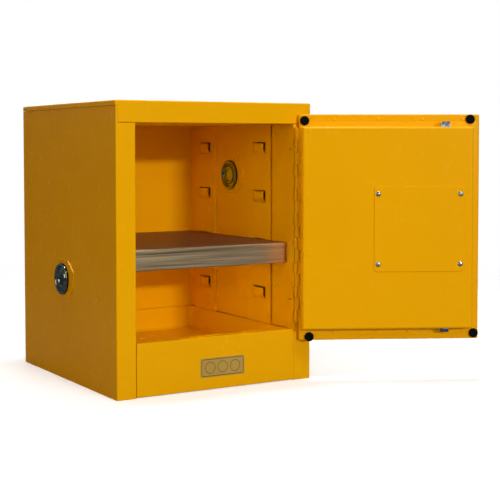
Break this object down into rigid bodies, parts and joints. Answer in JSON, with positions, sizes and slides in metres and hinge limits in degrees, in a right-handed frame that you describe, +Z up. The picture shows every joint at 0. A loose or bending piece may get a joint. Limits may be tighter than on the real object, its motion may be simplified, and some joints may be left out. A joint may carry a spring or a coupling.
{
  "type": "flammable storage cabinet",
  "caption": "Bench-top flammable storage cabinet: double-wall steel case with an open hinged door, a shelf on lanced ledges, a sump tray and plugged vents.",
  "frame": {"origin": "centre of the underside of the case, with the door left out", "axes": "+X to the viewer's right along the front, +Y from the front to the back, +Z up"},
  "size_m": [0.7494, 0.6847, 0.568],
  "materials": {
    "yellow_powder_coat": "semi-gloss powder coat",
    "brushed_shelf": "fine brushing across the width",
    "plated_steel": "bright zinc plate",
    "chrome_cap": "polished",
    "black_rubber": "matt",
    "black_plastic": "fine grain",
    "plain_label": "plain film with no print",
    "brass_stud": "plain"
  },
  "bodies": {
    "cabinet": {"left_side_panel": "yellow_powder_coat", "right_side_panel": "yellow_powder_coat", "back_panel": "yellow_powder_coat", "base_pan": "yellow_powder_coat", "top_cover": "yellow_powder_coat", "sill_panel": "yellow_powder_coat", "inner_left_wall": "yellow_powder_coat", "inner_right_wall": "yellow_powder_coat", "inner_back_wall": "yellow_powder_coat", "ceiling_liner": "yellow_powder_coat", "sump_tray": "yellow_powder_coat", "left_front_standard": "yellow_powder_coat", "left_rear_standard": "yellow_powder_coat", "right_front_standard": "yellow_powder_coat", "right_rear_standard": "yellow_powder_coat", "sill_label": "plain_label", "ground_stud": "brass_stud", "ground_nuts": "brass_stud", "left_vent_sleeve": "plated_steel", "left_vent_outer_cap": "chrome_cap", "left_vent_inner_cap": "chrome_cap", "left_flame_screen": "plated_steel", "right_vent_sleeve": "plated_steel", "right_vent_outer_cap": "chrome_cap", "right_vent_inner_cap": "chrome_cap", "right_flame_screen": "plated_steel", "hinge_frame_leaf": "yellow_powder_coat", "hinge_pin": "yellow_powder_coat", "hinge_frame_rivets": "plated_steel"},
    "shelf_unit": {"shelf": "brushed_shelf"},
    "door": {"hinge_door_leaf": "yellow_powder_coat", "hinge_door_rivets": "yellow_powder_coat", "door_outer_pan": "yellow_powder_coat", "door_inner_pan": "yellow_powder_coat", "door_rivets": "yellow_powder_coat", "door_bumpers": "black_rubber", "latch_cover_plate": "yellow_powder_coat", "cover_plate_screws": "plated_steel", "handle_cup": "black_plastic", "rod_guides": "plated_steel"},
    "handle": {"turn_handle": "black_plastic", "handle_spindle": "plated_steel", "latch_cam": "plated_steel"},
    "lock": {"lock_cylinder": "plated_steel"},
    "upper_latch": {"upper_rod": "plated_steel", "upper_bolt": "plated_steel"},
    "lower_latch": {"lower_rod": "plated_steel", "lower_bolt": "plated_steel"}
  },
  "joints": [
    {"name": "door_swing", "type": "hinge", "parent": "cabinet", "child": "door", "pos_m": [0.1815, -0.245, 0.319], "axis": [0, 0, 1], "range_deg": [-153, 10]},
    {"name": "handle_turn", "type": "hinge", "parent": "door", "child": "handle", "pos_m": [0.44696, -0.38811, 0.314], "axis": [-0.454, -0.891, 0], "range_deg": [0, 90]},
    {"name": "lock_turn", "type": "hinge", "parent": "handle", "child": "lock", "pos_m": [0.44696, -0.38811, 0.314], "axis": [-0.454, -0.891, 0], "range_deg": [0, 90]},
    {"name": "upper_bolt_slide", "type": "slide", "parent": "door", "child": "upper_latch", "axis": [0, 0, 1], "range_m": [-0.01415, 0]},
    {"name": "lower_bolt_slide", "type": "slide", "parent": "door", "child": "lower_latch", "axis": [0, 0, 1], "range_m": [0, 0.01415]},
    {"name": "shelf_lift", "type": "slide", "parent": "cabinet", "child": "shelf_unit", "axis": [0, 0, 1], "range_m": [0, 0.06]}
  ],
  "couplings": [
    {"joint": "upper_bolt_slide", "follows": "handle_turn", "m_per_rad": -0.009003},
    {"joint": "lower_bolt_slide", "follows": "handle_turn", "m_per_rad": 0.009003}
  ]
}
